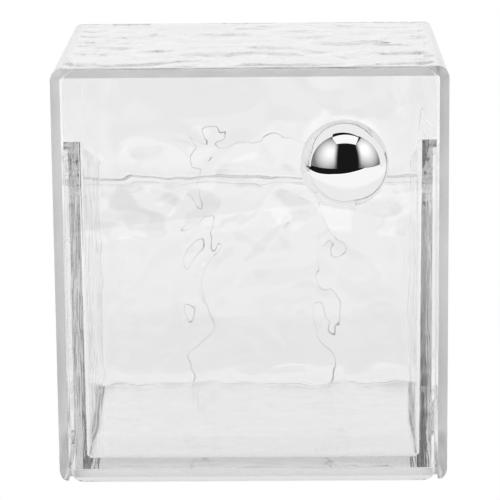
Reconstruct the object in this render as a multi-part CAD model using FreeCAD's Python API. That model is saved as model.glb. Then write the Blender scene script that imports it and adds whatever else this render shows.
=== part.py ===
"""Cotton pad holder: a clear open-fronted case, a clear pull-out drawer and a plated ball knob.

Working axes: +X to the right, +Y away from the front, +Z up.  Y = 0 is the front edge of the case
and Z = 0 is the table.  The finished pieces are moved along Y only, so that the origin lies at the
bottom centre of the whole object.
"""
import FreeCAD, Part
import math
import os

from FreeCAD import Vector

# ---------------------------------------------------------------- case (mm)
CASE_WIDTH = 105.0
CASE_HEIGHT = 113.0
CASE_DEPTH = 85.5
CASE_WALL = 2.5
CASE_OUTER_RADIUS = 3.3
CASE_INNER_RADIUS = 0.8
CASE_FLOOR_THICKNESS = 2.1
SKIRT_HEIGHT = 1.2
FOOT_ROUND_WIDTH = 2.0
FOOT_ROUND_HEIGHT = 3.3

# -------------------------------------------------------------- drawer (mm)
PANEL_THICKNESS = 2.5
PANEL_CORNER_RADIUS = 3.3
PANEL_SIDE_GAP = 0.85
PANEL_TOP_DROP = 0.1
PANEL_TABLE_CLEARANCE = 0.3
PANEL_CLOSING_GAP = 0.2

TRAY_DEPTH = 80.0
TRAY_RUNNING_CLEARANCE = 0.3
TRAY_FLOOR_THICKNESS = 2.8
TRAY_WALL = 2.6
TRAY_DRAFT = 0.5
TRAY_FRONT_HEIGHT = 90.0
TRAY_BACK_HEIGHT = 64.6
TRAY_RIM_SLOPE_DEGREES = 15.0
TRAY_CORNER_RADIUS = 4.1
TRAY_INNER_RADIUS = 1.5
TRAY_FLOOR_RADIUS = 1.35

RIM_OVERHANG = 1.15
RIM_THICKNESS = 2.0
RIM_SIDE_CLEARANCE = 0.75

# ---------------------------------------------------------------- knob (mm)
KNOB_DIAMETER = 23.0
KNOB_SEAT_DIAMETER = 9.0
KNOB_FROM_PANEL_EDGE = 24.55
KNOB_BELOW_TOP = 23.4
KNOB_HOLE_DEPTH = 8.0

SCREW_DIAMETER = 4.0
SCREW_LENGTH = 9.0
SCREW_TIP_CHAMFER = 0.5
SCREW_HEAD_DIAMETER = 8.0
SCREW_HEAD_HEIGHT = 2.4
SCREW_HEAD_ROUND = 0.9
SCREW_THREAD_CLEARANCE = 0.05
SCREW_HOLE_CLEARANCE = 0.25
DRIVE_SLOT_LENGTH = 4.4
DRIVE_SLOT_WIDTH = 0.9
DRIVE_SLOT_DEPTH = 1.4

# A cutting tool runs past the face that it opens by this much.
CUT_OVERRUN = 1.0
# Two points or levels this close together are the same.
SAME = 1e-6

# ------------------------------------------------------------ derived sizes
CAVITY_HALF_WIDTH = CASE_WIDTH / 2 - CASE_WALL
CAVITY_FLOOR_Z = SKIRT_HEIGHT + CASE_FLOOR_THICKNESS
CAVITY_ROOF_Z = CASE_HEIGHT - CASE_WALL
CAVITY_BACK_Y = CASE_DEPTH - CASE_WALL

PANEL_HALF_WIDTH = CAVITY_HALF_WIDTH - PANEL_SIDE_GAP
PANEL_BOTTOM_Z = PANEL_TABLE_CLEARANCE
PANEL_TOP_Z = CASE_HEIGHT - PANEL_TOP_DROP
PANEL_BACK_Y = -PANEL_CLOSING_GAP
PANEL_FRONT_Y = PANEL_BACK_Y - PANEL_THICKNESS

RIM_HALF_WIDTH = CAVITY_HALF_WIDTH - RIM_SIDE_CLEARANCE
TRAY_HALF_WIDTH = RIM_HALF_WIDTH - RIM_OVERHANG
TRAY_BOTTOM_Z = CAVITY_FLOOR_Z + TRAY_RUNNING_CLEARANCE
TRAY_FLOOR_Z = TRAY_BOTTOM_Z + TRAY_FLOOR_THICKNESS
TRAY_FRONT_TOP_Z = TRAY_BOTTOM_Z + TRAY_FRONT_HEIGHT
TRAY_BACK_TOP_Z = TRAY_BOTTOM_Z + TRAY_BACK_HEIGHT
TRAY_BACK_Y = TRAY_DEPTH

KNOB_RADIUS = KNOB_DIAMETER / 2
KNOB_SEAT_OFFSET = math.sqrt(KNOB_RADIUS ** 2 - (KNOB_SEAT_DIAMETER / 2) ** 2)
KNOB_X = PANEL_HALF_WIDTH - KNOB_FROM_PANEL_EDGE
KNOB_Y = PANEL_FRONT_Y - KNOB_SEAT_OFFSET
KNOB_Z = CASE_HEIGHT - KNOB_BELOW_TOP
SCREW_RADIUS = SCREW_DIAMETER / 2

FRONTMOST_Y = KNOB_Y - KNOB_RADIUS
ORIGIN_Y = (FRONTMOST_Y + CASE_DEPTH) / 2


# ----------------------------------------------------------- shape helpers
def block(x_range, y_range, z_range):
    """A plain box between three pairs of limits."""
    size = [high - low for low, high in (x_range, y_range, z_range)]
    corner = Vector(x_range[0], y_range[0], z_range[0])
    return Part.makeBox(size[0], size[1], size[2], corner)


def rounded_outline(corners, radii, place):
    """A closed face through the corners of a convex outline, each rounded by its own radius.

    `place` turns a flat (u, v) point into a 3-D point.
    """
    edges = []
    starts = []
    ends = []
    count = len(corners)
    for index in range(count):
        here = Vector(corners[index][0], corners[index][1], 0)
        before = Vector(corners[index - 1][0], corners[index - 1][1], 0)
        after = Vector(corners[(index + 1) % count][0], corners[(index + 1) % count][1], 0)
        to_before = (before - here).normalize()
        to_after = (after - here).normalize()
        half_angle = to_before.getAngle(to_after) / 2
        radius = radii[index]
        setback = radius / math.tan(half_angle)
        bisector = (to_before + to_after).normalize()
        centre = here + bisector * (radius / math.sin(half_angle))
        starts.append(here + to_before * setback)
        ends.append(here + to_after * setback)
        if radius > 0:
            middle = centre - bisector * radius
            arc = Part.Arc(place(starts[-1]), place(middle), place(ends[-1]))
            edges.append(arc.toShape())
    for index in range(count):
        line_start = place(ends[index])
        line_end = place(starts[(index + 1) % count])
        if (line_end - line_start).Length > SAME:
            edges.append(Part.LineSegment(line_start, line_end).toShape())
    return Part.Face(Part.Wire(Part.__sortEdges__(edges)))


def rounded_rectangle(u_range, v_range, radii, place):
    """A rectangle whose radii run from low-u low-v round to low-u high-v."""
    corners = [
        (u_range[0], v_range[0]),
        (u_range[1], v_range[0]),
        (u_range[1], v_range[1]),
        (u_range[0], v_range[1]),
    ]
    return rounded_outline(corners, radii, place)


def front_plane(y):
    """Places (u, v) as (x, z) on the plane at this y."""
    return lambda point: Vector(point.x, y, point.y)


def side_plane(x):
    """Places (u, v) as (y, z) on the plane at this x."""
    return lambda point: Vector(x, point.x, point.y)


def level_plane(z):
    """Places (u, v) as (x, y) on the plane at this z."""
    return lambda point: Vector(point.x, point.y, z)


def cylinder_along_y(radius, y_low, y_high):
    """A cylinder on the knob's own axis."""
    return Part.makeCylinder(radius, y_high - y_low, Vector(KNOB_X, y_low, KNOB_Z), Vector(0, 1, 0))


# -------------------------------------------------------------------- case
def case_end_outline():
    """The case seen from the front: round top corners, and tall narrow rounds at the feet."""
    half = CASE_WIDTH / 2
    top = CASE_HEIGHT
    radius = CASE_OUTER_RADIUS
    diagonal = radius * math.sqrt(0.5)
    place = front_plane(0)

    def at(x, z):
        return place(Vector(x, z, 0))

    def top_corner(side):
        centre_x = side * (half - radius)
        return Part.Arc(
            at(side * half, top - radius),
            at(centre_x + side * diagonal, top - radius + diagonal),
            at(centre_x, top),
        ).toShape()

    def foot_corner(side):
        centre = at(side * (half - FOOT_ROUND_WIDTH), FOOT_ROUND_HEIGHT)
        tall = at(side * (half - FOOT_ROUND_WIDTH), 0)
        wide = at(side * half, FOOT_ROUND_HEIGHT)
        ellipse = Part.Ellipse(tall, wide, centre)
        first = ellipse.parameter(tall)
        last = ellipse.parameter(wide)
        return ellipse.toShape(min(first, last), max(first, last))

    def straight(start, end):
        return Part.LineSegment(start, end).toShape()

    foot_x = half - FOOT_ROUND_WIDTH
    edges = [
        straight(at(-foot_x, 0), at(foot_x, 0)),
        foot_corner(1),
        straight(at(half, FOOT_ROUND_HEIGHT), at(half, top - radius)),
        top_corner(1),
        straight(at(half - radius, top), at(radius - half, top)),
        top_corner(-1),
        straight(at(-half, top - radius), at(-half, FOOT_ROUND_HEIGHT)),
        foot_corner(-1),
    ]
    return Part.Face(Part.Wire(Part.__sortEdges__(edges)))


def make_case():
    """One moulding: a box open at the front, standing on a low skirt round its sides and back."""
    half = CASE_WIDTH / 2
    outer_radius = CASE_OUTER_RADIUS
    inner_radius = CASE_INNER_RADIUS

    from_front = case_end_outline().extrude(Vector(0, CASE_DEPTH, 0))
    from_above = rounded_rectangle(
        (-half, half), (0, CASE_DEPTH), (0, 0, outer_radius, outer_radius), level_plane(0)
    ).extrude(Vector(0, 0, CASE_HEIGHT))
    from_side = rounded_rectangle(
        (0, CASE_DEPTH), (0, CASE_HEIGHT), (0, 0, outer_radius, 0), side_plane(-half)
    ).extrude(Vector(CASE_WIDTH, 0, 0))
    body = from_front.common(from_above).common(from_side)

    cavity = rounded_rectangle(
        (-CAVITY_HALF_WIDTH, CAVITY_HALF_WIDTH),
        (CAVITY_FLOOR_Z, CAVITY_ROOF_Z),
        (inner_radius, inner_radius, inner_radius, inner_radius),
        front_plane(-CUT_OVERRUN),
    ).extrude(Vector(0, CAVITY_BACK_Y + CUT_OVERRUN, 0))
    underside = block(
        (-CAVITY_HALF_WIDTH, CAVITY_HALF_WIDTH),
        (-CUT_OVERRUN, CAVITY_BACK_Y),
        (-CUT_OVERRUN, SKIRT_HEIGHT),
    )
    return body.cut(cavity).cut(underside)


# ------------------------------------------------------------------ drawer
def make_front_panel():
    """The flat drawer front, which closes over the end of the case between its side walls."""
    radii = (PANEL_CORNER_RADIUS,) * 4
    outline = rounded_rectangle(
        (-PANEL_HALF_WIDTH, PANEL_HALF_WIDTH),
        (PANEL_BOTTOM_Z, PANEL_TOP_Z),
        radii,
        front_plane(PANEL_FRONT_Y),
    )
    panel = outline.extrude(Vector(0, PANEL_THICKNESS, 0))
    hole = cylinder_along_y(
        SCREW_RADIUS + SCREW_HOLE_CLEARANCE, PANEL_FRONT_Y - CUT_OVERRUN, PANEL_BACK_Y + CUT_OVERRUN
    )
    return panel.cut(hole)


def side_height(y, drop):
    """Height of the sloping top edge of the side walls at this y, less a drop."""
    fall = (y - PANEL_BACK_Y) * math.tan(math.radians(TRAY_RIM_SLOPE_DEGREES))
    return TRAY_FRONT_TOP_Z - fall - drop


def side_profile(inset):
    """The tray seen from the side, its top and back drawn in by `inset`.

    The top edge falls away from the front panel, and turns down to the back wall in one arc, whose
    lower end is level with the top of the back wall.
    """
    slope = math.radians(TRAY_RIM_SLOPE_DEGREES)
    back_y = TRAY_BACK_Y - inset
    drop = inset / math.cos(slope)
    corner_z = side_height(back_y, drop)
    setback = corner_z - TRAY_BACK_TOP_Z
    radius = setback / math.tan((math.pi / 2 - slope) / 2)
    corners = [
        (PANEL_BACK_Y, TRAY_BOTTOM_Z),
        (back_y, TRAY_BOTTOM_Z),
        (back_y, corner_z),
        (PANEL_BACK_Y, side_height(PANEL_BACK_Y, drop)),
    ]
    return corners, (0, 0, radius, 0)


def side_slab(inset, half_width):
    """The side profile, run across the tray to a half width on each side."""
    corners, radii = side_profile(inset)
    outline = rounded_outline(corners, radii, side_plane(-half_width))
    return outline.extrude(Vector(2 * half_width, 0, 0))


def plan_slab(half_width, back_y, radius):
    """A full-height slab seen from above, with round corners at the back only."""
    outline = rounded_rectangle(
        (-half_width, half_width), (PANEL_BACK_Y, back_y), (0, 0, radius, radius), level_plane(0)
    )
    return outline.extrude(Vector(0, 0, CASE_HEIGHT))


def make_rim():
    """The out-turned rim, which follows the top edge of the tray and guides it in the case."""
    rim_back_y = TRAY_BACK_Y + RIM_OVERHANG
    side_rim = side_slab(0, RIM_HALF_WIDTH).cut(side_slab(RIM_THICKNESS, RIM_HALF_WIDTH + CUT_OVERRUN))
    side_rim = side_rim.common(
        block(
            (-RIM_HALF_WIDTH, RIM_HALF_WIDTH),
            (PANEL_BACK_Y, TRAY_BACK_Y),
            (TRAY_BACK_TOP_Z - RIM_THICKNESS, CASE_HEIGHT),
        )
    )
    back_rim = block(
        (-RIM_HALF_WIDTH, RIM_HALF_WIDTH),
        (TRAY_BACK_Y - TRAY_WALL, rim_back_y),
        (TRAY_BACK_TOP_Z - RIM_THICKNESS, TRAY_BACK_TOP_Z),
    )
    outer = plan_slab(RIM_HALF_WIDTH, rim_back_y, TRAY_CORNER_RADIUS + RIM_OVERHANG)
    return side_rim.fuse(back_rim).common(outer)


def make_tray_cavity():
    """The hollow of the tray: it widens towards the top, and its floor has a round edge."""
    levels = (
        (TRAY_FLOOR_Z, TRAY_WALL + TRAY_DRAFT),
        (TRAY_FRONT_TOP_Z + CUT_OVERRUN, TRAY_WALL),
    )
    wires = []
    for z, wall in levels:
        outline = rounded_rectangle(
            (wall - TRAY_HALF_WIDTH, TRAY_HALF_WIDTH - wall),
            (PANEL_BACK_Y, TRAY_BACK_Y - wall),
            (TRAY_INNER_RADIUS,) * 4,
            level_plane(z),
        )
        wires.append(outline.OuterWire)
    hollow = Part.makeLoft(wires, True, True)
    floor_edges = [edge for edge in hollow.Edges if abs(edge.BoundBox.ZMax - TRAY_FLOOR_Z) < SAME]
    return hollow.makeFillet(TRAY_FLOOR_RADIUS, floor_edges)


def make_drawer():
    """One moulding: the front panel, the tray behind it and the rim round the tray."""
    tray = side_slab(0, TRAY_HALF_WIDTH).common(
        plan_slab(TRAY_HALF_WIDTH, TRAY_BACK_Y, TRAY_CORNER_RADIUS)
    )
    inner_half = TRAY_HALF_WIDTH - TRAY_WALL
    above_back_wall = block(
        (-inner_half, inner_half),
        (TRAY_BACK_Y - TRAY_WALL - CUT_OVERRUN, TRAY_BACK_Y + RIM_OVERHANG + CUT_OVERRUN),
        (TRAY_BACK_TOP_Z, CASE_HEIGHT),
    )
    solid = tray.fuse(make_rim()).cut(above_back_wall).cut(make_tray_cavity())
    return solid.fuse(make_front_panel()).removeSplitter()


# -------------------------------------------------------------------- knob
def make_ball_knob():
    """A plated ball with a flat seat against the front panel and a blind hole for its screw."""
    ball = Part.makeSphere(KNOB_RADIUS, Vector(KNOB_X, KNOB_Y, KNOB_Z))
    beyond_seat = block(
        (KNOB_X - KNOB_RADIUS, KNOB_X + KNOB_RADIUS),
        (PANEL_FRONT_Y, PANEL_FRONT_Y + KNOB_RADIUS),
        (KNOB_Z - KNOB_RADIUS, KNOB_Z + KNOB_RADIUS),
    )
    hole = cylinder_along_y(
        SCREW_RADIUS + SCREW_THREAD_CLEARANCE,
        PANEL_FRONT_Y - KNOB_HOLE_DEPTH,
        PANEL_FRONT_Y + CUT_OVERRUN,
    )
    return ball.cut(beyond_seat).cut(hole)


def make_knob_screw():
    """The screw that holds the ball: its round head bears on the back of the front panel."""
    tip_y = PANEL_BACK_Y - SCREW_LENGTH
    shank = cylinder_along_y(SCREW_RADIUS, tip_y, PANEL_BACK_Y)
    tip = [edge for edge in shank.Edges if abs(edge.BoundBox.YMax - tip_y) < SAME]
    shank = shank.makeChamfer(SCREW_TIP_CHAMFER, tip)

    head_top_y = PANEL_BACK_Y + SCREW_HEAD_HEIGHT
    head = cylinder_along_y(SCREW_HEAD_DIAMETER / 2, PANEL_BACK_Y, head_top_y)
    crown = [edge for edge in head.Edges if abs(edge.BoundBox.YMin - head_top_y) < SAME]
    head = head.makeFillet(SCREW_HEAD_ROUND, crown)

    screw = shank.fuse(head)
    slot_y = (head_top_y - DRIVE_SLOT_DEPTH, head_top_y + CUT_OVERRUN)
    long_half = DRIVE_SLOT_LENGTH / 2
    short_half = DRIVE_SLOT_WIDTH / 2
    for half_x, half_z in ((long_half, short_half), (short_half, long_half)):
        slot = block((KNOB_X - half_x, KNOB_X + half_x), slot_y, (KNOB_Z - half_z, KNOB_Z + half_z))
        screw = screw.cut(slot)
    return screw.removeSplitter()


# ------------------------------------------------------------------ export
PIECES = {
    "case": make_case,
    "drawer": make_drawer,
    "ball_knob": make_ball_knob,
    "knob_screw": make_knob_screw,
}

os.makedirs("parts", exist_ok=True)
for name, make in PIECES.items():
    shape = make()
    shape.translate(Vector(0, -ORIGIN_Y, 0))
    if not shape.isValid() or len(shape.Solids) != 1:
        raise ValueError(f"{name} is not one sound solid")
    shape = shape.Solids[0]
    shape.exportStep(f"parts/{name}.step")
    bounds = shape.BoundBox
    print(
        f"{name}: {shape.Volume:.1f} mm3,"
        f" x {bounds.XMin:.2f} to {bounds.XMax:.2f},"
        f" y {bounds.YMin:.2f} to {bounds.YMax:.2f},"
        f" z {bounds.ZMin:.2f} to {bounds.ZMax:.2f}"
    )
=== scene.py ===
"""Cotton pad holder: a clear rippled case and drawer with a plated ball knob, in a white studio."""
import math

import bmesh
import bpy
from mathutils import Matrix, Vector, kdtree, noise


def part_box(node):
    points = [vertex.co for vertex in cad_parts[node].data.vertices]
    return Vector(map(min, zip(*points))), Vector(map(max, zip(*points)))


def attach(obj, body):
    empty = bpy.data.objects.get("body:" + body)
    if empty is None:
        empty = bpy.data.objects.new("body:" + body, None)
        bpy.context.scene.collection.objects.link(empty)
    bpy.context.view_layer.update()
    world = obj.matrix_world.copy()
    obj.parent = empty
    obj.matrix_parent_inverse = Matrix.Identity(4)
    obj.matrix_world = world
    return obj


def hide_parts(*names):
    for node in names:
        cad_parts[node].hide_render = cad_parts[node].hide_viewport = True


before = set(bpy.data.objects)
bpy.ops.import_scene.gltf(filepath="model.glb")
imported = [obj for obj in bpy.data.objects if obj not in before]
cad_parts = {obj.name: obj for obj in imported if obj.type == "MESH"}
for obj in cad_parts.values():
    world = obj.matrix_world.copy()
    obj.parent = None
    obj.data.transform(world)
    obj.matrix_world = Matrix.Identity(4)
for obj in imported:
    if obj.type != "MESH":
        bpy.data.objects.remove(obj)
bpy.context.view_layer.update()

bl_info = {
    "name": "Cotton pad holder",
    "version": (1, 0, 0),
    "blender": (4, 5, 0),
    "location": "3D View > Sidebar > Pad holder",
    "description": "Builds a clear cotton pad holder with a drawer, and the studio it stands in",
    "category": "Object",
}

MM = 0.001
# Vertices this close together are one vertex.
WELD = 0.001 * MM
# Faces that meet at less than this angle, in degrees, are one flat face.
FLAT_ANGLE = 0.5
# Faces that meet at more than this angle, in degrees, have a corner to ease between them.
CORNER_ANGLE = 35.0
# The ripple dies away beside edges whose faces meet at more than this angle, in degrees.
GENTLE_ANGLE = 12.0
# A face whose normal has at least this much of a direction looks that way.
FACING = 0.9
# An upright face has less of the upward direction than this in its normal.
UPRIGHT = 0.2
# A vertex on a flat wall that lies along the axes has at least this much of one axis in its normal.
ON_FLAT_WALL = 0.98
# Depth, from the front of a moulding, that holds the edges round its front.
FRONT_DEPTH = 1.0 * MM
# Depth, from the front of the drawer, that holds the panel and nothing of the tray.
PANEL_DEPTH = 2.6 * MM
# Depth of the front ends of the case's walls, which are matt.
CUT_FACE_DEPTH = 0.1 * MM

# The vertex attributes that the ripple reads.
RIPPLE_SIDE = "ripple_side"
RIPPLE_SHARE = "ripple_share"
# The inner and the outer faces take the ripple from two places of the same pattern.
INNER_SEED = 3.1
OUTER_SEED = 11.7
SEED_STEPS = (1.0, 0.37, -0.61)
# The broad swells are warped, have a finer chop on them, and are drawn up into crests.
WARP_SEED = 5
WARP_DEPTH = 0.55
WARP_FINENESS = 0.9
CHOP_FINENESS = 2.3
CHOP_SHIFT = Vector((5.2, 1.3, 8.1))
CHOP_IN_CREST = 0.35
CREST_SHARPNESS = 2.2
SWELL_LEVEL = 0.42
SWELL_SHARE = 0.45
CHOP_SHARE = 0.15
CREST_SHARE = 0.22

# The sheets of the studio's floor lie at these heights, one above the other.
FLOOR_HEIGHT = -0.5 * MM
TABLE_HEIGHT = -0.4 * MM
TABLE_EDGE_HEIGHT = -0.3 * MM
PATCH_HEIGHT = -0.2 * MM
WIRE_FOOT_HEIGHT = -0.1 * MM
FLOOR_SIZE = 6.0

# Outlines on the table, in metres, as x and y.
TABLE_FRONT = ((-0.5, 0.25), (-0.40, 0.0), (-0.12, -0.325), (0.24, -0.526), (1.3, -1.0))
TABLE_REAR = ((1.3, 1.6), (-0.6, 1.6), (-0.6, 0.25))
# The rear outline of the painted highlight, a brighter strip along the table's front edge.
TABLE_EDGE_REAR = ((1.3, -0.92), (0.24, -0.485), (-0.11, -0.30), (-0.385, 0.0), (-0.485, 0.25))
CONTACT_SHADE = ((-0.052, -0.034), (0.052, -0.034), (0.052, -0.018), (-0.052, -0.018))
UNDER_LIGHT = ((-0.050, 0.0), (0.050, 0.0), (0.050, 0.085), (-0.050, 0.085))
# The table is shaded round this place, up to the first of the two distances.
SHADE_CENTRE = (0.0, 0.12, 0.0)
SHADE_REACH = (0.22, 0.25)

# The thin wire frame that stands behind the object.
WIRE_LEFT = -19.0 * MM
WIRE_RIGHT = 21.8 * MM
WIRE_TOP = 61.6 * MM
WIRE_WIDTH = 0.34 * MM
WIRE_FRONT = 50.0 * MM
WIRE_BACK = 150.0 * MM

# The white tent: its size, its place behind the knob and its turn.
TENT_SIZE = (1.0, 1.3, 1.25)
TENT_GAP = 0.19
TENT_SINK = 0.01
TENT_TURN = math.radians(-7)

# Corners and brightest place of the lights round the knob, as azimuth and elevation in degrees.
SOFTBOXES = {
    "softbox_left": (((-18, -2), (-103, -3), (-103, 62), (-24, 54)), (-50, 33)),
    "softbox_right": (((33, -2), (116, -3), (118, 52), (43, 52)), (69, 34)),
}
SOFTBOX_DISTANCE = 1.0
HOT_SPOT_DISTANCE = 0.85
SOFTBOX_REACH = (0.0, 0.6)
SOFT_EDGE_WIDTH = 0.2
CARD_CORNERS = ((-98, -6), (-122, -6), (-122, 66), (-98, 66))
CARD_DISTANCE = 0.85
# Corners of the overhead light as seen from the knob, for a height of 1, and its height.
OVERHEAD_CORNERS = ((-0.45, -0.458), (0.54, -0.458), (0.54, 0.05), (-0.45, 0.02))
OVERHEAD_HEIGHT = 1.15

SENSOR_WIDTH = 36.0
CLIP_START = 0.01
CLIP_END = 50.0
# Light passes through many clear faces one behind the other.
BOUNCES = 48


# ------------------------------------------------------------------ sizes
class MouldingSettings(bpy.types.PropertyGroup):
    """Sizes of the water ripple and of the eased edges, which the case and the drawer share."""

    grid: bpy.props.FloatProperty(
        name="Mesh grid", description="Spacing of the mesh over the rippled walls",
        default=1.4 * MM, subtype="DISTANCE", unit="LENGTH",
    )
    panel_edge_radius: bpy.props.FloatProperty(
        name="Panel edge radius", description="Radius round the face of the drawer",
        default=0.7 * MM, subtype="DISTANCE", unit="LENGTH",
    )
    ring_edge_radius: bpy.props.FloatProperty(
        name="Ring edge radius", description="Radius of the edges at the front of the case",
        default=0.32 * MM, subtype="DISTANCE", unit="LENGTH",
    )
    mouth_radius: bpy.props.FloatProperty(
        name="Mouth radius", description="Radius round the mouth of the tray",
        default=1.0 * MM, subtype="DISTANCE", unit="LENGTH",
    )
    edge_radius: bpy.props.FloatProperty(
        name="Edge radius", description="Radius of the other edges",
        default=0.12 * MM, subtype="DISTANCE", unit="LENGTH",
    )
    edge_margin: bpy.props.FloatProperty(
        name="Edge margin", description="Width beside each edge over which the ripple dies away",
        default=4.0 * MM, subtype="DISTANCE", unit="LENGTH",
    )
    swell_length: bpy.props.FloatProperty(
        name="Swell length", description="Distance between the broad swells of the walls",
        default=10.0 * MM, subtype="DISTANCE", unit="LENGTH",
    )
    swell_depth: bpy.props.FloatProperty(
        name="Swell depth", description="Depth of the broad swells of the walls",
        default=0.60 * MM, subtype="DISTANCE", unit="LENGTH",
    )
    case_ripple_length: bpy.props.FloatProperty(
        name="Case ripple length", description="Distance between the crests on the case",
        default=18.0 * MM, subtype="DISTANCE", unit="LENGTH",
    )
    tray_ripple_length: bpy.props.FloatProperty(
        name="Tray ripple length", description="Distance between the crests on the drawer",
        default=13.0 * MM, subtype="DISTANCE", unit="LENGTH",
    )
    steepness: bpy.props.FloatProperty(
        name="Steepness", description="Depth of the ripple as a share of its length",
        default=0.08, min=0.0, max=0.5,
    )
    inner_share: bpy.props.FloatProperty(
        name="Inner share", description="Share of the ripple on the inner faces of the case",
        default=0.0, min=0.0, max=1.0,
    )
    under_share: bpy.props.FloatProperty(
        name="Under share", description="Share of the ripple under the floor of the case",
        default=0.05, min=0.0, max=1.0,
    )
    panel_share: bpy.props.FloatProperty(
        name="Panel share", description="Share of the ripple on the back of the drawer front",
        default=0.2, min=0.0, max=1.0,
    )
    tray_back_share: bpy.props.FloatProperty(
        name="Tray back share", description="Share of the ripple inside the back of the tray",
        default=0.8, min=0.0, max=1.0,
    )
    tray_side_swell: bpy.props.FloatProperty(
        name="Tray side swell", description="Share of the broad swells inside the tray's sides",
        default=0.4, min=0.0, max=1.0,
    )
    tray_side_share: bpy.props.FloatProperty(
        name="Tray side share", description="Share of the fine ripple inside the tray's sides",
        default=0.05, min=0.0, max=1.0,
    )
    tray_outer_swell: bpy.props.FloatProperty(
        name="Tray outer swell", description="Share of the broad swells outside the tray's sides",
        default=0.08, min=0.0, max=1.0,
    )
    tray_outer_share: bpy.props.FloatProperty(
        name="Tray outer share", description="Share of the fine ripple outside the tray's sides",
        default=0.25, min=0.0, max=1.0,
    )
    tray_floor_share: bpy.props.FloatProperty(
        name="Tray floor share", description="Share of the ripple on the floor of the tray",
        default=0.06, min=0.0, max=1.0,
    )


class PlasticSettings(bpy.types.PropertyGroup):
    """The clear plastic of the case and the drawer."""

    colour: bpy.props.FloatVectorProperty(
        name="Tint", description="Colour of the plastic", subtype="COLOR", size=3,
        min=0.0, max=1.0, default=(0.995, 0.995, 0.995),
    )
    ior: bpy.props.FloatProperty(
        name="Refractive index", description="Bending of light by the plastic", default=1.5,
        min=1.0, max=2.0,
    )
    case_absorption: bpy.props.FloatProperty(
        name="Case absorption", description="Light lost in the case, per metre", default=2.3,
        min=0.0,
    )
    drawer_absorption: bpy.props.FloatProperty(
        name="Drawer absorption", description="Light lost in the drawer, per metre", default=3.8,
        min=0.0,
    )
    cut_roughness: bpy.props.FloatProperty(
        name="Matt roughness", description="Roughness of the matt front ends of the walls",
        default=0.28, min=0.0, max=1.0,
    )
    cut_depth: bpy.props.FloatProperty(
        name="Matt depth", description="Depth over which the front ends of the walls turn clear",
        default=0.3 * MM, subtype="DISTANCE", unit="LENGTH",
    )
    wiped_roughness: bpy.props.FloatProperty(
        name="Wiped roughness", description="Roughness of the faint wiping marks", default=0.02,
        min=0.0, max=1.0,
    )
    wiping_scale: bpy.props.FloatProperty(
        name="Wiping scale", description="Number of wiping marks per metre", default=45.0,
        min=0.0,
    )


class KnobSettings(bpy.types.PropertyGroup):
    """The plated ball and its screw."""

    colour: bpy.props.FloatVectorProperty(
        name="Plating colour", description="Colour of the bright plating", subtype="COLOR",
        size=3, min=0.0, max=1.0, default=(0.95, 0.95, 0.955),
    )
    zinc_colour: bpy.props.FloatVectorProperty(
        name="Zinc colour", description="Colour of the screw", subtype="COLOR", size=3, min=0.0,
        max=1.0, default=(0.62, 0.62, 0.60),
    )
    least_roughness: bpy.props.FloatProperty(
        name="Least roughness", description="Roughness of the clean plating", default=0.015,
        min=0.0, max=1.0,
    )
    most_roughness: bpy.props.FloatProperty(
        name="Most roughness", description="Roughness of the wiping marks on the plating",
        default=0.05, min=0.0, max=1.0,
    )
    wiping_scale: bpy.props.FloatProperty(
        name="Wiping scale", description="Number of wiping marks per metre", default=180.0,
        min=0.0,
    )
    segments: bpy.props.IntProperty(
        name="Segments", description="Segments round the ball", default=160, min=24,
    )
    seat_width: bpy.props.FloatProperty(
        name="Seat width", description="Width of the flat seat round the hole for the screw",
        default=2.45 * MM, subtype="DISTANCE", unit="LENGTH",
    )
    hole_depth: bpy.props.FloatProperty(
        name="Hole depth", description="Depth of the hole for the screw",
        default=8.0 * MM, subtype="DISTANCE", unit="LENGTH",
    )


class StudioSettings(bpy.types.PropertyGroup):
    """Camera and lights."""

    camera_place: bpy.props.FloatVectorProperty(
        name="Camera place", description="Where the camera stands", subtype="TRANSLATION",
        unit="LENGTH", size=3, default=(9.82 * MM, -753.3 * MM, 227.3 * MM),
    )
    camera_pan: bpy.props.FloatProperty(
        name="Camera pan", description="Turn of the camera to the left", subtype="ANGLE",
        default=math.radians(0.801),
    )
    camera_tilt: bpy.props.FloatProperty(
        name="Camera tilt", description="Downward tilt of the camera", subtype="ANGLE",
        default=math.radians(12.739),
    )
    camera_roll: bpy.props.FloatProperty(
        name="Camera roll", description="Roll of the camera", subtype="ANGLE",
        default=math.radians(-0.559),
    )
    lens: bpy.props.FloatProperty(
        name="Lens", description="Focal length in millimetres on a 36 mm wide sensor",
        default=200.52, min=1.0,
    )
    table_glow: bpy.props.FloatProperty(
        name="Table brightness", description="Brightness of the white table", default=0.97, min=0.0,
    )
    shade_glow: bpy.props.FloatProperty(
        name="Table shade", description="Brightness of the table just behind the object",
        default=0.87, min=0.0,
    )
    # Glow of the painted highlight along the table's front edge.
    table_edge_highlight_glow: bpy.props.FloatProperty(
        name="Table edge brightness", description="Brightness of the table's front edge",
        default=1.3, min=0.0,
    )
    contact_glow: bpy.props.FloatProperty(
        name="Contact shade", description="Brightness of the table just before the object",
        default=0.78, min=0.0,
    )
    under_glow: bpy.props.FloatProperty(
        name="Light below", description="Brightness of the table under the clear floor",
        default=0.95, min=0.0,
    )
    wire_glow: bpy.props.FloatProperty(
        name="Wire brightness", description="Brightness of the thin wires behind the object",
        default=0.42, min=0.0,
    )
    tent_glow: bpy.props.FloatProperty(
        name="Tent brightness", description="Brightness of the white tent behind", default=0.88,
        min=0.0,
    )
    softbox_glow: bpy.props.FloatProperty(
        name="Softbox brightness", description="Brightness at the middle of each softbox",
        default=1.4, min=0.0,
    )
    softbox_edge_glow: bpy.props.FloatProperty(
        name="Softbox edge brightness", description="Brightness far from the middle of a softbox",
        default=0.2, min=0.0,
    )
    overhead_glow: bpy.props.FloatProperty(
        name="Overhead brightness", description="Brightness of the overhead light", default=1.0,
        min=0.0,
    )
    room_glow: bpy.props.FloatProperty(
        name="Room brightness", description="Brightness of the dark room round the lights",
        default=0.012, min=0.0,
    )


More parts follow.
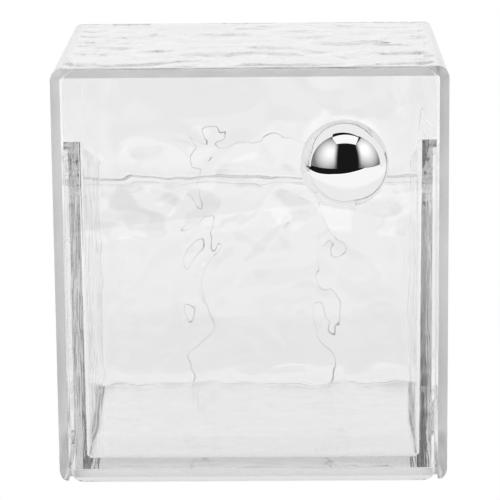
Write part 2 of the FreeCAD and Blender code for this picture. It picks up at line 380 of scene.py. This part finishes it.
# -------------------------------------------------------------- materials
def add_node(tree, kind, values=(), operation=None):
    """Adds a node with the values of its unlinked inputs and, where it has one, its operation."""
    node = tree.nodes.new(kind)
    if operation is not None:
        node.operation = operation
    for socket, value in dict(values).items():
        node.inputs[socket].default_value = value
    return node


def new_group(name, inputs, output):
    """A node group, with number sockets, and the nodes for its inputs and its output."""
    group = bpy.data.node_groups.new(name, "ShaderNodeTree")
    for socket in inputs:
        group.interface.new_socket(socket, in_out="INPUT", socket_type="NodeSocketFloat")
    group.interface.new_socket(output, in_out="OUTPUT", socket_type="NodeSocketFloat")
    return group, group.nodes.new("NodeGroupInput"), group.nodes.new("NodeGroupOutput")


def wiping_marks_group():
    """Node group: faint wiping marks, as a mask from 0 to 1 on Object coordinates."""
    name = "wiping_marks"
    if name in bpy.data.node_groups:
        return bpy.data.node_groups[name]
    group, given, result = new_group(name, ("Scale",), "Mask")
    place = add_node(group, "ShaderNodeTexCoord")
    clouds = add_node(group, "ShaderNodeTexNoise", {"Detail": 6.0, "Roughness": 0.62})
    patches = add_node(group, "ShaderNodeMapRange", {"From Min": 0.52, "From Max": 0.78})
    group.links.new(place.outputs["Object"], clouds.inputs["Vector"])
    group.links.new(given.outputs["Scale"], clouds.inputs["Scale"])
    group.links.new(clouds.outputs["Fac"], patches.inputs["Value"])
    group.links.new(patches.outputs["Result"], result.inputs["Mask"])
    return group


def water_ripple_group():
    """Node group: the height of the fine water ripple, from 0 to 1, on Object coordinates.

    The waves run from -1 to 1. The greater of each wave and its opposite makes rounded creases.
    """
    name = "water_ripple"
    if name in bpy.data.node_groups:
        return bpy.data.node_groups[name]
    group, given, result = new_group(name, ("Scale", "Side", "Share"), "Height")
    place = add_node(group, "ShaderNodeTexCoord")
    scaled = add_node(group, "ShaderNodeVectorMath", operation="SCALE")
    shifted = add_node(group, "ShaderNodeVectorMath", operation="ADD")
    waves = add_node(
        group, "ShaderNodeTexNoise",
        {"Scale": 1.0, "Detail": 0.0, "Roughness": 0.4, "Distortion": 0.2},
    )
    wave = add_node(group, "ShaderNodeMath", {1: 2.0, 2: -1.0}, operation="MULTIPLY_ADD")
    opposite = add_node(group, "ShaderNodeMath", {1: -1.0}, operation="MULTIPLY")
    crease = add_node(group, "ShaderNodeMath", {2: 0.5}, operation="SMOOTH_MAX")
    height = add_node(group, "ShaderNodeMath", operation="MULTIPLY")
    group.links.new(place.outputs["Object"], scaled.inputs[0])
    group.links.new(given.outputs["Scale"], scaled.inputs["Scale"])
    group.links.new(scaled.outputs["Vector"], shifted.inputs[0])
    group.links.new(given.outputs["Side"], shifted.inputs[1])
    group.links.new(shifted.outputs["Vector"], waves.inputs["Vector"])
    group.links.new(waves.outputs["Fac"], wave.inputs[0])
    group.links.new(wave.outputs["Value"], opposite.inputs[0])
    group.links.new(wave.outputs["Value"], crease.inputs[0])
    group.links.new(opposite.outputs["Value"], crease.inputs[1])
    group.links.new(crease.outputs["Value"], height.inputs[0])
    group.links.new(given.outputs["Share"], height.inputs[1])
    group.links.new(height.outputs["Value"], result.inputs["Height"])
    return group


def new_material(name):
    """A node material that holds its Principled shader and its output, and nothing else."""
    material = bpy.data.materials.new(name)
    material.use_nodes = True
    tree = material.node_tree
    tree.nodes.clear()
    shader = add_node(tree, "ShaderNodeBsdfPrincipled")
    output = add_node(tree, "ShaderNodeOutputMaterial")
    tree.links.new(shader.outputs["BSDF"], output.inputs["Surface"])
    return material, shader, output


def wiped_roughness(tree, scale, least, most):
    """The socket of a roughness that rises from its least value over the wiping marks."""
    marks = add_node(tree, "ShaderNodeGroup")
    marks.node_tree = wiping_marks_group()
    marks.inputs["Scale"].default_value = scale
    wiped = add_node(tree, "ShaderNodeMapRange", {"To Min": least, "To Max": most})
    tree.links.new(marks.outputs["Mask"], wiped.inputs["Value"])
    return wiped.outputs["Result"]


def matt_in_front(tree, settings, cut_face, roughness):
    """The greater of a roughness and that of the matt faces, which lie in front of `cut_face`."""
    place = add_node(tree, "ShaderNodeTexCoord")
    split = add_node(tree, "ShaderNodeSeparateXYZ")
    matt = add_node(
        tree, "ShaderNodeMapRange",
        {
            "From Min": cut_face,
            "From Max": cut_face + settings.cut_depth,
            "To Min": settings.cut_roughness,
            "To Max": 0.0,
        },
    )
    both = add_node(tree, "ShaderNodeMath", operation="MAXIMUM")
    tree.links.new(place.outputs["Object"], split.inputs["Vector"])
    tree.links.new(split.outputs["Y"], matt.inputs["Value"])
    tree.links.new(matt.outputs["Result"], both.inputs[0])
    tree.links.new(roughness, both.inputs[1])
    return both.outputs["Value"]


def ripple_bump(tree, ripple_length, steepness):
    """The normal of the fine ripple, where the vertex attributes of the mesh ask for it."""
    ripple = add_node(tree, "ShaderNodeGroup")
    ripple.node_tree = water_ripple_group()
    ripple.inputs["Scale"].default_value = 1.0 / ripple_length
    side = add_node(tree, "ShaderNodeAttribute")
    side.attribute_name = RIPPLE_SIDE
    share = add_node(tree, "ShaderNodeAttribute")
    share.attribute_name = RIPPLE_SHARE
    bump = add_node(tree, "ShaderNodeBump", {"Distance": steepness * ripple_length})
    tree.links.new(side.outputs["Fac"], ripple.inputs["Side"])
    tree.links.new(share.outputs["Fac"], ripple.inputs["Share"])
    tree.links.new(ripple.outputs["Height"], bump.inputs["Height"])
    return bump.outputs["Normal"]


def clear_plastic(name, settings, ripple_length, steepness, absorption, cut_face=None):
    """Clear moulded plastic with its water ripple and faint wiping marks.

    The plastic is matt in front of `cut_face`, a depth along the drawer's travel.
    """
    material, shader, output = new_material(name)
    tree = material.node_tree
    roughness = wiped_roughness(tree, settings.wiping_scale, 0.0, settings.wiped_roughness)
    if cut_face is not None:
        roughness = matt_in_front(tree, settings, cut_face, roughness)
    tree.links.new(roughness, shader.inputs["Roughness"])
    tree.links.new(ripple_bump(tree, ripple_length, steepness), shader.inputs["Normal"])
    shader.inputs["Transmission Weight"].default_value = 1.0
    shader.inputs["IOR"].default_value = settings.ior
    shader.inputs["Base Color"].default_value = (*settings.colour, 1.0)
    absorb = add_node(
        tree, "ShaderNodeVolumeAbsorption", {"Color": (0.0, 0.0, 0.0, 1.0), "Density": absorption}
    )
    tree.links.new(absorb.outputs["Volume"], output.inputs["Volume"])
    return material


def plating(name, settings, colour):
    """Bright plating with faint wiping marks."""
    material, shader, _ = new_material(name)
    tree = material.node_tree
    roughness = wiped_roughness(
        tree, settings.wiping_scale, settings.least_roughness, settings.most_roughness
    )
    tree.links.new(roughness, shader.inputs["Roughness"])
    shader.inputs["Base Color"].default_value = (*colour, 1.0)
    shader.inputs["Metallic"].default_value = 1.0
    return material


# -------------------------------------------------------------- mouldings
def whole_faced_copy(node_name):
    """A merged copy of a CAD node, each flat face in one piece."""
    bm = bmesh.new()
    bm.from_mesh(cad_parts[node_name].data)
    bmesh.ops.remove_doubles(bm, verts=bm.verts, dist=WELD)
    bmesh.ops.dissolve_limit(
        bm, angle_limit=math.radians(FLAT_ANGLE), verts=bm.verts, edges=bm.edges
    )
    return bm


def everything(bm):
    """All vertices, edges and faces of a mesh."""
    return bm.verts[:] + bm.edges[:] + bm.faces[:]


def bounds_of(bm):
    """Lowest and highest corner of a mesh."""
    low = Vector(min(vert.co[axis] for vert in bm.verts) for axis in range(3))
    high = Vector(max(vert.co[axis] for vert in bm.verts) for axis in range(3))
    return low, high


def corner_edges(bm, least_angle):
    """The edges whose two faces meet at more than this angle, in degrees."""
    return [edge for edge in bm.edges if edge.calc_face_angle(0.0) > math.radians(least_angle)]


def mouth_edges(bm):
    """The edges round the mouth of the tray, between its rim and the inside of its walls."""
    low, high = bounds_of(bm)
    centre = (low + high) / 2
    found = []
    for edge in corner_edges(bm, CORNER_ANGLE):
        middle = (edge.verts[0].co + edge.verts[1].co) / 2
        on_rim = any(face.normal.z > FACING for face in edge.link_faces)
        on_wall = any(
            abs(face.normal.z) < UPRIGHT and face.normal.dot(centre - middle) > 0
            for face in edge.link_faces
        )
        behind_panel = middle.y >= low.y + PANEL_DEPTH
        if on_rim and on_wall and behind_panel and middle.z >= centre.z:
            found.append(edge)
    return found


def ease_edges(bm, moulding, front_radius, mouth=()):
    """Rounds every corner of a moulding: the mouth of the tray, the other edges, then the front."""
    low = bounds_of(bm)[0]
    edges = corner_edges(bm, CORNER_ANGLE)
    front = [
        edge for edge in edges if max(vert.co.y for vert in edge.verts) < low.y + FRONT_DEPTH
    ]
    others = [edge for edge in edges if edge not in front and edge not in mouth]
    steps = (
        (mouth, moulding.mouth_radius), (others, moulding.edge_radius), (front, front_radius)
    )
    for group, radius in steps:
        still_there = [edge for edge in group if edge.is_valid]
        if still_there:
            bmesh.ops.bevel(
                bm, geom=still_there, offset=radius, offset_type="OFFSET", segments=2,
                profile=0.5, affect="EDGES", clamp_overlap=True, material=-1,
            )


def cut_grid(bm, grid):
    """Cuts the faces along level, upright and cross planes, then divides the long edges."""
    low, high = bounds_of(bm)
    plane_spacing = 7 * grid
    least_length = 1.5 * grid
    along_axis = 0.999
    for axis in range(3):
        planes = max(2, round((high[axis] - low[axis]) / plane_spacing))
        normal = Vector()
        normal[axis] = 1.0
        for plane in range(1, planes):
            bmesh.ops.bisect_plane(
                bm, geom=everything(bm), dist=0.05 * MM,
                plane_co=low.lerp(high, plane / planes), plane_no=normal,
            )
    for axis in range(3):
        by_cuts = {}
        for edge in bm.edges:
            run = edge.verts[1].co - edge.verts[0].co
            if run.length > least_length and abs(run[axis]) > along_axis * run.length:
                by_cuts.setdefault(max(1, round(run.length / grid) - 1), []).append(edge)
        for cuts, edges in by_cuts.items():
            bmesh.ops.subdivide_edges(bm, edges=edges, cuts=cuts)


def swell_height(place, wave_length, seed):
    """Height of the broad swells at a place, from 0 in the hollows to 1 on the crests."""
    spot = place / wave_length + Vector([seed * step for step in SEED_STEPS])
    warped = spot + WARP_DEPTH * noise.noise_vector(spot * WARP_FINENESS)
    swell = noise.noise(warped)
    chop = noise.noise(warped * CHOP_FINENESS + CHOP_SHIFT)
    crest = 1.0 - min(1.0, abs(swell + CHOP_IN_CREST * chop) * CREST_SHARPNESS)
    height = SWELL_LEVEL + SWELL_SHARE * swell + CHOP_SHARE * chop + CREST_SHARE * crest
    return min(1.0, max(0.0, height))


def smooth_step(value, low, high):
    """0 below low, 1 above high, and a smooth rise between them."""
    share = min(1.0, max(0.0, (value - low) / (high - low)))
    return share * share * (3.0 - 2.0 * share)


def places_of_edges(bm):
    """The vertices on corners and on rounded faces, as a tree that tells how far off they are."""
    on_corners = {vert for edge in corner_edges(bm, GENTLE_ANGLE) for vert in edge.verts}
    found = [
        vert for vert in bm.verts
        if vert in on_corners or max(abs(part) for part in vert.normal) < ON_FLAT_WALL
    ]
    tree = kdtree.KDTree(len(found))
    for index, vert in enumerate(found):
        tree.insert(vert.co, index)
    tree.balance()
    return tree


def press_ripple(bm, moulding, share_at):
    """Presses the broad swells into the walls and marks where the fine ripple lies.

    `share_at(place, normal, inward)` gives the shares of the swells and of the ripple there.
    """
    low, high = bounds_of(bm)
    centre = (low + high) / 2
    noise.seed_set(WARP_SEED)
    bm.normal_update()
    side_layer = bm.verts.layers.float.new(RIPPLE_SIDE)
    share_layer = bm.verts.layers.float.new(RIPPLE_SHARE)
    edges = places_of_edges(bm)
    plain_margin = 0.2 * moulding.edge_margin
    moves = []
    for vert in bm.verts:
        inward = (centre - vert.co).dot(vert.normal) > 0
        seed = INNER_SEED if inward else OUTER_SEED
        swell, fine = share_at(vert.co, vert.normal, inward)
        vert[side_layer] = seed
        if swell > 0:
            away = edges.find(vert.co)[2]
            fade = smooth_step(away, plain_margin, moulding.edge_margin)
            hollow = 1.0 - swell_height(vert.co, moulding.swell_length, seed)
            vert[share_layer] = fade * fine
            moves.append((vert, vert.normal * (-moulding.swell_depth * fade * swell * hollow)))
    for vert, move in moves:
        vert.co += move
    # Each face is split along its shorter diagonal, so that every run splits it the same way.
    bmesh.ops.triangulate(bm, faces=bm.faces, quad_method="SHORT_EDGE", ngon_method="BEAUTY")


def finished_piece(name, bm, material, body, node):
    """Makes the object, rides it on its body, and lets it stand for the CAD node."""
    mesh = bpy.data.meshes.new(name)
    bm.to_mesh(mesh)
    bm.free()
    mesh.materials.append(material)
    mesh.polygons.foreach_set("use_smooth", [True] * len(mesh.polygons))
    piece = bpy.data.objects.new(name, mesh)
    bpy.context.scene.collection.objects.link(piece)
    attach(piece, body)
    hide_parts(node)
    return piece


def keep_flats(piece):
    """Shades flat faces flat beside their rounded edges."""
    modifier = piece.modifiers.new("flats", "WEIGHTED_NORMAL")
    modifier.mode = "FACE_AREA"
    modifier.weight = 50
    modifier.keep_sharp = False


class PADHOLDER_OT_case(bpy.types.Operator):
    """Builds the open-fronted case"""

    bl_idname = "padholder.case"
    bl_label = "Case"

    def execute(self, context):
        moulding = context.scene.padholder_moulding
        plastic = context.scene.padholder_plastic
        bm = whole_faced_copy("case")
        front = bounds_of(bm)[0].y
        ease_edges(bm, moulding, moulding.ring_edge_radius)
        cut_grid(bm, moulding.grid)

        def share_at(place, normal, inward):
            """The ripple lies on the back, the top and a little on the underside."""
            side_wall = abs(normal.x) > FACING
            front_end = normal.y < -FACING and place.y < front + FRONT_DEPTH
            if side_wall or front_end:
                return 0.0, 0.0
            if inward:
                return moulding.inner_share, moulding.inner_share
            if normal.z < -FACING:
                return moulding.under_share, moulding.under_share
            return 1.0, 1.0

        press_ripple(bm, moulding, share_at)
        material = clear_plastic(
            "clear_case_plastic", plastic, moulding.case_ripple_length, moulding.steepness,
            plastic.case_absorption, front + CUT_FACE_DEPTH,
        )
        piece = finished_piece("clear_case_shell", bm, material, "case", "case")
        keep_flats(piece)
        return {"FINISHED"}


class PADHOLDER_OT_drawer(bpy.types.Operator):
    """Builds the drawer: its flat front, its tray and the rim round the tray"""

    bl_idname = "padholder.drawer"
    bl_label = "Drawer"

    def execute(self, context):
        moulding = context.scene.padholder_moulding
        plastic = context.scene.padholder_plastic
        bm = whole_faced_copy("drawer")
        panel_back = bounds_of(bm)[0].y + PANEL_DEPTH
        ease_edges(bm, moulding, moulding.panel_edge_radius, mouth_edges(bm))
        cut_grid(bm, moulding.grid)

        def share_at(place, normal, inward):
            """The ripple lies on the back of the panel, the tray's inside and its sides."""
            side_wall = abs(normal.x) > FACING
            if place.y < panel_back:
                share = moulding.panel_share if normal.y > FACING else 0.0
                return share, share
            if side_wall and inward:
                return moulding.tray_side_swell, moulding.tray_side_share
            if side_wall:
                return moulding.tray_outer_swell, moulding.tray_outer_share
            if not inward:
                return 0.0, 0.0
            on_floor = normal.z > FACING
            share = moulding.tray_floor_share if on_floor else moulding.tray_back_share
            return share, share

        press_ripple(bm, moulding, share_at)
        material = clear_plastic(
            "clear_drawer_plastic", plastic, moulding.tray_ripple_length, moulding.steepness,
            plastic.drawer_absorption,
        )
        piece = finished_piece(
            "clear_drawer_tray", bm, material, "drawer", "drawer"
        )
        keep_flats(piece)
        return {"FINISHED"}


class PADHOLDER_OT_knob(bpy.types.Operator):
    """Builds the plated ball knob, with its flat seat and the hole for its screw"""

    bl_idname = "padholder.knob"
    bl_label = "Ball knob"

    def execute(self, context):
        settings = context.scene.padholder_knob
        low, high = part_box("ball_knob")
        radius = (high.z - low.z) / 2
        centre = Vector(((low.x + high.x) / 2, low.y + radius, (low.z + high.z) / 2))
        bm = bmesh.new()
        bmesh.ops.create_uvsphere(
            bm, u_segments=settings.segments, v_segments=settings.segments // 2, radius=radius
        )
        bmesh.ops.rotate(
            bm, verts=bm.verts, cent=(0, 0, 0), matrix=Matrix.Rotation(math.pi / 2, 3, "X")
        )
        bmesh.ops.translate(bm, verts=bm.verts, vec=centre)
        cut = bmesh.ops.bisect_plane(
            bm, geom=everything(bm), plane_co=(0, high.y, 0), plane_no=(0, 1, 0),
            clear_outer=True,
        )
        rim = [item for item in cut["geom_cut"] if isinstance(item, bmesh.types.BMEdge)]
        seat = bmesh.ops.contextual_create(bm, geom=rim)["faces"]
        bmesh.ops.inset_region(
            bm, faces=seat, thickness=settings.seat_width, use_even_offset=True
        )
        hole = bmesh.ops.extrude_face_region(bm, geom=seat)
        hole_end = [item for item in hole["geom"] if isinstance(item, bmesh.types.BMVert)]
        bmesh.ops.translate(bm, verts=hole_end, vec=(0, -settings.hole_depth, 0))
        bmesh.ops.delete(bm, geom=seat, context="FACES")
        bmesh.ops.recalc_face_normals(bm, faces=bm.faces)
        material = plating("bright_plating", settings, settings.colour)
        finished_piece("plated_ball_knob", bm, material, "drawer", "ball_knob")
        return {"FINISHED"}


class PADHOLDER_OT_screw(bpy.types.Operator):
    """Gives the knob's screw its zinc finish"""

    bl_idname = "padholder.screw"
    bl_label = "Knob screw"

    def execute(self, context):
        settings = context.scene.padholder_knob
        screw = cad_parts["knob_screw"]
        screw.material_slots[0].material = plating("zinc_plating", settings, settings.zinc_colour)
        return {"FINISHED"}


# ----------------------------------------------------------------- studio
def glow_material(name, strength):
    """A plain glowing surface, whose emission node is named glow."""
    material = bpy.data.materials.new(name)
    material.use_nodes = True
    tree = material.node_tree
    tree.nodes.clear()
    glow = add_node(tree, "ShaderNodeEmission", {"Strength": strength})
    glow.name = "glow"
    output = add_node(tree, "ShaderNodeOutputMaterial")
    tree.links.new(glow.outputs["Emission"], output.inputs["Surface"])
    return material


def spread_from(material, centre, reach, middle, far):
    """Lets a glow fade from its middle to its far value between two distances from a place."""
    tree = material.node_tree
    place = add_node(tree, "ShaderNodeTexCoord")
    away = add_node(tree, "ShaderNodeVectorMath", {1: centre}, operation="DISTANCE")
    fade = add_node(
        tree, "ShaderNodeMapRange",
        {"From Min": reach[0], "From Max": reach[1], "To Min": middle, "To Max": far},
    )
    tree.links.new(place.outputs["Object"], away.inputs[0])
    tree.links.new(away.outputs["Value"], fade.inputs["Value"])
    tree.links.new(fade.outputs["Result"], tree.nodes["glow"].inputs["Strength"])


def soften_edge(material, corners, width):
    """Lets a four-cornered light die away towards the edge between its first and last corners.

    Its glow has been spread by `spread_from` before.
    """
    tree = material.node_tree
    strength = tree.nodes["glow"].inputs["Strength"]
    along = (corners[3] - corners[0]).normalized()
    across = (corners[1] - corners[0]) - along * (corners[1] - corners[0]).dot(along)
    across.normalize()
    edge = across.dot(corners[0])
    place = add_node(tree, "ShaderNodeTexCoord")
    away = add_node(tree, "ShaderNodeVectorMath", {1: across}, operation="DOT_PRODUCT")
    fade = add_node(tree, "ShaderNodeMapRange", {"From Min": edge, "From Max": edge + width})
    product = add_node(tree, "ShaderNodeMath", operation="MULTIPLY")
    tree.links.new(place.outputs["Object"], away.inputs[0])
    tree.links.new(away.outputs["Value"], fade.inputs["Value"])
    tree.links.new(fade.outputs["Result"], product.inputs[0])
    tree.links.new(strength.links[0].from_socket, product.inputs[1])
    tree.links.new(product.outputs["Value"], strength)


def stage_object(name, bm, material):
    """A studio object, which isn't part of the pad holder and which the camera doesn't see."""
    mesh = bpy.data.meshes.new(name)
    bm.to_mesh(mesh)
    bm.free()
    mesh.materials.append(material)
    thing = bpy.data.objects.new(name, mesh)
    bpy.context.scene.collection.objects.link(thing)
    thing.visible_camera = False
    return thing


def flat_face(corners):
    """A mesh of one flat face."""
    bm = bmesh.new()
    bm.faces.new([bm.verts.new(corner) for corner in corners])
    return bm


def level_sheet(name, outline, height, material):
    """A flat studio object that lies level, with its outline given as x and y."""
    return stage_object(name, flat_face([(x, y, height) for x, y in outline]), material)


def direction(azimuth, elevation):
    """Unit vector at an azimuth, from the front towards the right, and an elevation, in degrees."""
    turn = math.radians(azimuth)
    rise = math.radians(elevation)
    return Vector(
        (math.sin(turn) * math.cos(rise), -math.cos(turn) * math.cos(rise), math.sin(rise))
    )


def build_floor():
    """The white floor that the camera sees and that nothing is reflected in."""
    bm = bmesh.new()
    bmesh.ops.create_grid(bm, x_segments=1, y_segments=1, size=FLOOR_SIZE)
    bmesh.ops.translate(bm, verts=bm.verts, vec=(0, 0, FLOOR_HEIGHT))
    floor = stage_object("floor", bm, glow_material("floor_white", 1.0))
    floor.visible_camera = True
    floor.visible_diffuse = False
    floor.visible_glossy = False
    floor.visible_transmission = False


def build_table(settings):
    """The table that lights the object from below, shaded where the object stands, with a painted
    highlight along its front edge.
    """
    white = glow_material("table_white", settings.table_glow)
    spread_from(white, SHADE_CENTRE, SHADE_REACH, settings.shade_glow, settings.table_glow)
    level_sheet("table", TABLE_FRONT + TABLE_REAR, TABLE_HEIGHT, white)
    # A painted highlight: a strip brighter than the table along its front edge.
    edge_highlight = glow_material("table_edge_highlight", settings.table_edge_highlight_glow)
    level_sheet("table_edge", TABLE_FRONT + TABLE_EDGE_REAR, TABLE_EDGE_HEIGHT, edge_highlight)
    shade = glow_material("contact_shade", settings.contact_glow)
    level_sheet("contact_shade", CONTACT_SHADE, PATCH_HEIGHT, shade)
    light = glow_material("under_light", settings.under_glow)
    level_sheet("under_light", UNDER_LIGHT, PATCH_HEIGHT, light)


def build_wires(settings):
    """A thin wire frame on two feet behind the object, whose image the ripple bends."""
    dark = glow_material("wire_dark", settings.wire_glow)
    bars = (
        (WIRE_LEFT, 0.0, WIRE_LEFT + WIRE_WIDTH, WIRE_TOP),
        (WIRE_RIGHT - WIRE_WIDTH, 0.0, WIRE_RIGHT, WIRE_TOP),
        (WIRE_LEFT, WIRE_TOP - WIRE_WIDTH, WIRE_RIGHT, WIRE_TOP),
    )
    for index, (left, bottom, right, top) in enumerate(bars):
        corners = ((left, bottom), (right, bottom), (right, top), (left, top))
        bar = flat_face([(x, WIRE_BACK, z) for x, z in corners])
        stage_object(f"wire_{index}", bar, dark)
    for index, left in enumerate((WIRE_LEFT, WIRE_RIGHT)):
        right = left + WIRE_WIDTH
        outline = (
            (left, WIRE_FRONT), (right, WIRE_FRONT), (right, WIRE_BACK), (left, WIRE_BACK)
        )
        level_sheet(f"wire_foot_{index}", outline, WIRE_FOOT_HEIGHT, dark)


def build_tent(settings, knob):
    """The white tent behind the object, open towards the camera and below."""
    bm = bmesh.new()
    bmesh.ops.create_cube(bm, size=1.0)
    openings = [
        face for face in bm.faces if face.normal.y < -FACING or face.normal.z < -FACING
    ]
    bmesh.ops.delete(bm, geom=openings, context="FACES")
    bmesh.ops.scale(bm, verts=bm.verts, vec=TENT_SIZE)
    bmesh.ops.translate(
        bm, verts=bm.verts, vec=(0.0, TENT_SIZE[1] / 2 + TENT_GAP, TENT_SIZE[2] / 2 - TENT_SINK)
    )
    bmesh.ops.rotate(
        bm, verts=bm.verts, cent=(0, 0, 0), matrix=Matrix.Rotation(TENT_TURN, 3, "Z")
    )
    bmesh.ops.translate(bm, verts=bm.verts, vec=(knob.x, knob.y, 0.0))
    stage_object("tent", bm, glow_material("tent_white", settings.tent_glow))


def build_lights(settings, knob):
    """The softboxes beside the camera, a white card at the left and the overhead light."""
    for name, (edges, hot_spot) in SOFTBOXES.items():
        material = glow_material(name + "_light", settings.softbox_glow)
        corners = [knob + SOFTBOX_DISTANCE * direction(*edge) for edge in edges]
        centre = knob + HOT_SPOT_DISTANCE * direction(*hot_spot)
        spread_from(
            material, centre, SOFTBOX_REACH, settings.softbox_glow, settings.softbox_edge_glow
        )
        soften_edge(material, corners, SOFT_EDGE_WIDTH)
        stage_object(name, flat_face(corners), material)

    corners = [knob + CARD_DISTANCE * direction(*edge) for edge in CARD_CORNERS]
    stage_object("card_left", flat_face(corners), glow_material("card_white", settings.tent_glow))

    corners = [knob + OVERHEAD_HEIGHT * Vector((x, y, 1.0)) for x, y in OVERHEAD_CORNERS]
    overhead = glow_material("overhead_light", settings.overhead_glow)
    stage_object("overhead", flat_face(corners), overhead)


def build_world(scene, settings):
    """A room that is white to the camera and dark to everything else."""
    world = bpy.data.worlds.new("studio_room")
    scene.world = world
    world.use_nodes = True
    tree = world.node_tree
    tree.nodes.clear()
    rays = add_node(tree, "ShaderNodeLightPath")
    dark = add_node(tree, "ShaderNodeBackground", {"Strength": settings.room_glow})
    white = add_node(tree, "ShaderNodeBackground", {"Color": (1.0, 1.0, 1.0, 1.0)})
    mix = add_node(tree, "ShaderNodeMixShader")
    output = add_node(tree, "ShaderNodeOutputWorld")
    tree.links.new(rays.outputs["Is Camera Ray"], mix.inputs["Fac"])
    tree.links.new(dark.outputs["Background"], mix.inputs[1])
    tree.links.new(white.outputs["Background"], mix.inputs[2])
    tree.links.new(mix.outputs["Shader"], output.inputs["Surface"])


def place_camera(scene, settings):
    """The camera, in front of the object and a little above it."""
    camera = bpy.data.cameras.new("camera")
    camera.sensor_width = SENSOR_WIDTH
    camera.lens = settings.lens
    camera.clip_start = CLIP_START
    camera.clip_end = CLIP_END
    holder = bpy.data.objects.new("camera", camera)
    scene.collection.objects.link(holder)
    pan = settings.camera_pan
    tilt = settings.camera_tilt
    roll = settings.camera_roll
    forward = Vector(
        (-math.sin(pan) * math.cos(tilt), math.cos(pan) * math.cos(tilt), -math.sin(tilt))
    )
    level = Vector((math.cos(pan), math.sin(pan), 0.0))
    upright = level.cross(forward)
    right = math.cos(roll) * level + math.sin(roll) * upright
    up = math.cos(roll) * upright - math.sin(roll) * level
    turn = Matrix((right, up, -forward)).transposed()
    holder.matrix_world = Matrix.Translation(settings.camera_place) @ turn.to_4x4()
    scene.camera = holder


class PADHOLDER_OT_studio(bpy.types.Operator):
    """Builds the floor, the lights, the world and the camera"""

    bl_idname = "padholder.studio"
    bl_label = "Studio"

    def execute(self, context):
        scene = context.scene
        settings = scene.padholder_studio
        low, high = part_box("ball_knob")
        knob = (low + high) / 2
        build_floor()
        build_table(settings)
        build_wires(settings)
        build_tent(settings, knob)
        build_lights(settings, knob)
        build_world(scene, settings)
        place_camera(scene, settings)
        scene.view_settings.view_transform = "Standard"
        scene.cycles.max_bounces = BOUNCES
        scene.cycles.transmission_bounces = BOUNCES
        scene.cycles.glossy_bounces = BOUNCES
        return {"FINISHED"}


class PADHOLDER_PT_panel(bpy.types.Panel):
    """Lists the pieces of the pad holder and its studio"""

    bl_idname = "PADHOLDER_PT_panel"
    bl_label = "Cotton pad holder"
    bl_space_type = "VIEW_3D"
    bl_region_type = "UI"
    bl_category = "Pad holder"

    def draw(self, context):
        for operator in OPERATORS:
            self.layout.operator(operator.bl_idname)


OPERATORS = (
    PADHOLDER_OT_case,
    PADHOLDER_OT_drawer,
    PADHOLDER_OT_knob,
    PADHOLDER_OT_screw,
    PADHOLDER_OT_studio,
)
SETTINGS = {
    "padholder_moulding": MouldingSettings,
    "padholder_plastic": PlasticSettings,
    "padholder_knob": KnobSettings,
    "padholder_studio": StudioSettings,
}


def register():
    """Registers the settings, the operators and the panel."""
    for name, settings in SETTINGS.items():
        bpy.utils.register_class(settings)
        setattr(bpy.types.Scene, name, bpy.props.PointerProperty(type=settings))
    for operator in OPERATORS:
        bpy.utils.register_class(operator)
    bpy.utils.register_class(PADHOLDER_PT_panel)


def unregister():
    """Takes away what register added."""
    bpy.utils.unregister_class(PADHOLDER_PT_panel)
    for operator in reversed(OPERATORS):
        bpy.utils.unregister_class(operator)
    for name, settings in SETTINGS.items():
        delattr(bpy.types.Scene, name)
        bpy.utils.unregister_class(settings)


def main():
    """Builds every piece and the studio."""
    register()
    bpy.ops.padholder.case()
    bpy.ops.padholder.drawer()
    bpy.ops.padholder.knob()
    bpy.ops.padholder.screw()
    bpy.ops.padholder.studio()


if __name__ == "__main__":
    main()
